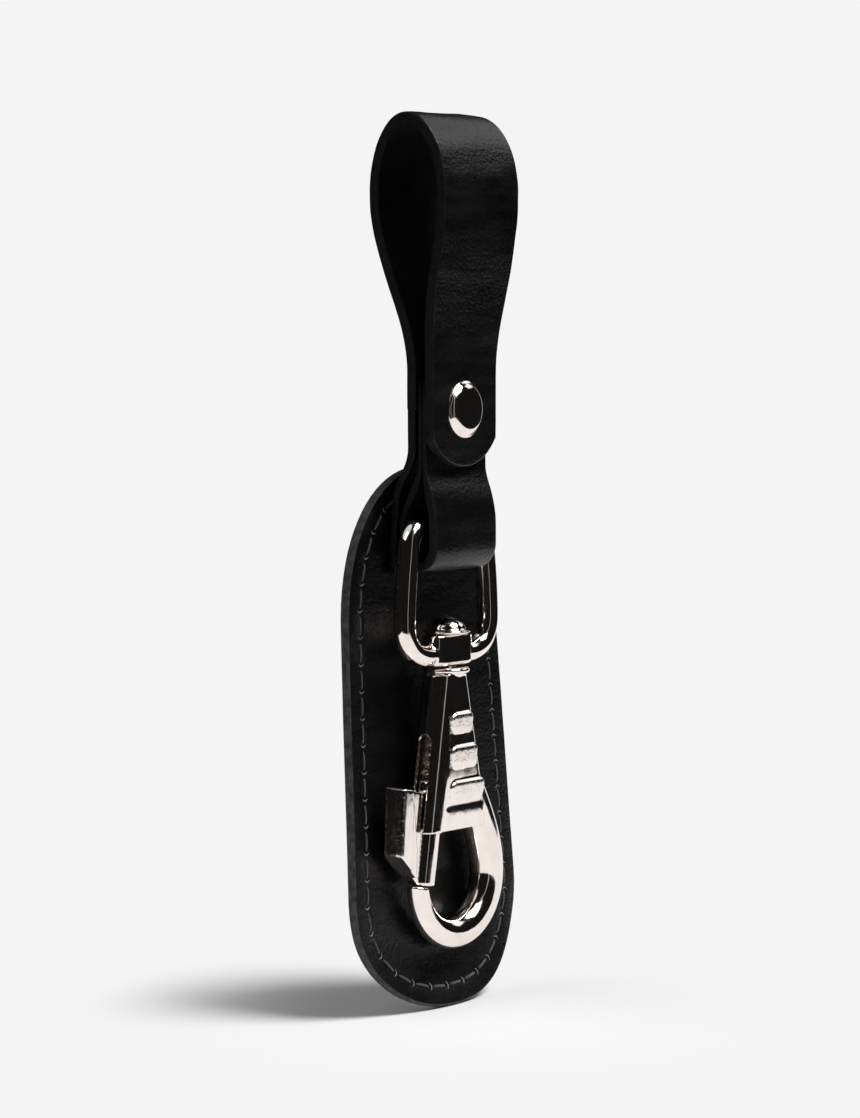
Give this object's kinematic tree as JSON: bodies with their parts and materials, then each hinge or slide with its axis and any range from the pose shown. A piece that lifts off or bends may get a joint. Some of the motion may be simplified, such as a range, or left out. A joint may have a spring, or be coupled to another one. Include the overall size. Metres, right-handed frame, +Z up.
{
  "type": "belt loop key holder",
  "caption": "Leather belt-loop key holder: snap-closed strap loop, folded hanger, sewn guard flap and a swivel bolt snap with a spring gate.",
  "frame": {"origin": "middle of the strap's width, level with the belt loop's inner top, on the middle plane of the snapped layers", "axes": "+Z up along the hanging holder, +X to the right seen from the snap cap's side, -Y towards the cap"},
  "size_m": [0.0474, 0.017, 0.159],
  "materials": {
    "strap_leather": "black semi-gloss grain",
    "guard_leather": "black, grain to the front and plain behind",
    "nickel": "polished nickel plate on a zinc casting",
    "spring_steel": "bright drawn wire"
  },
  "bodies": {
    "strap": {"belt_loop": "strap_leather", "hanger_strap": "strap_leather", "snap_stud": "nickel", "snap_post": "nickel"},
    "flap": {"strap_flap": "strap_leather", "snap_cap": "nickel", "snap_socket": "nickel"},
    "guard": {"strap_tail": "strap_leather", "guard_front": "guard_leather", "guard_back": "guard_leather"},
    "eye": {"swivel_eye": "nickel"},
    "hook": {"hook_body": "nickel", "swivel_rivet": "nickel", "gate_spring": "spring_steel"},
    "gate": {"gate_bolt": "nickel"}
  },
  "joints": [
    {"name": "flap_open", "type": "hinge", "parent": "strap", "child": "flap", "pos_m": [0, 0.0024, 0.0017], "axis": [-1, 0, 0], "range_deg": [0, 55]},
    {"name": "guard_swing", "type": "hinge", "parent": "strap", "child": "guard", "pos_m": [0, 0.00428, -0.0612], "axis": [1, 0, 0], "range_deg": [0, 45], "stiffness_Nm_per_rad": 0.003},
    {"name": "eye_swing", "type": "hinge", "parent": "strap", "child": "eye", "pos_m": [0, 0.0012, -0.0711], "axis": [-1, 0, 0], "range_deg": [0, 90]},
    {"name": "hook_swivel", "type": "hinge", "parent": "eye", "child": "hook", "pos_m": [0, 0.0012, -0.0963], "axis": [0, 0, 1], "continuous": true, "deforming": ["strap_tail", "guard_front", "guard_back"]},
    {"name": "gate_slide", "type": "slide", "parent": "hook", "child": "gate", "axis": [0.1628, 0, 0.9867], "range_m": [0, 0.0093], "stiffness_N_per_m": 400, "springref_m": -0.004, "deforming": ["gate_spring"]}
  ]
}
